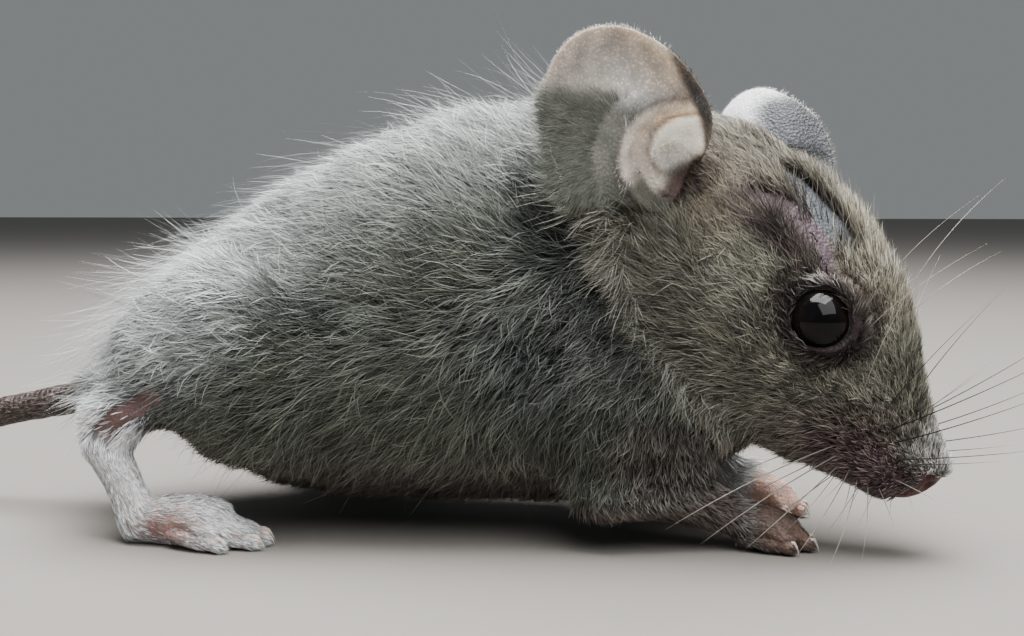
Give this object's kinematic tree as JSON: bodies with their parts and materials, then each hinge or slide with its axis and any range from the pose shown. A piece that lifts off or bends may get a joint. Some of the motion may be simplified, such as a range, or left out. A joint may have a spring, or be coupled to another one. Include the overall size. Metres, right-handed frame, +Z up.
{
  "type": "house mouse model",
  "caption": "Life-size still model of a young house mouse crouched on its belly, head low and turned to its right, tail laid out behind.",
  "frame": {"origin": "the middle of the whole model's box, tail and all, at floor level", "axes": "+X forward along the body towards the nose, +Y to the mouse's left, +Z up"},
  "size_m": [0.0794, 0.0214, 0.0237],
  "materials": {
    "body_coat": "soft grey-brown fur with pale tips",
    "face_coat": "short olive-brown fur",
    "ear_skin": "thin matt skin with fine short hair",
    "eye": "wet black gloss",
    "foot_skin": "pale pink skin with short white hair",
    "tail_skin": "scaly matt skin with fine hairs"
  },
  "bodies": {
    "root": {"head": "face_coat", "neck": "body_coat", "trunk": "body_coat", "thigh_right": "body_coat", "shank_right": "body_coat", "hindfoot_right": "foot_skin", "foreleg_right": "body_coat", "forepaw_right": "foot_skin", "thigh_left": "body_coat", "shank_left": "body_coat", "hindfoot_left": "foot_skin", "foreleg_left": "body_coat", "forepaw_left": "foot_skin", "tail_base": "tail_skin", "tail_middle": "tail_skin", "tail_tip": "tail_skin", "ear_right": "ear_skin", "ear_left": "ear_skin", "eye_right": "eye", "eye_left": "eye"}
  },
  "joints": []
}
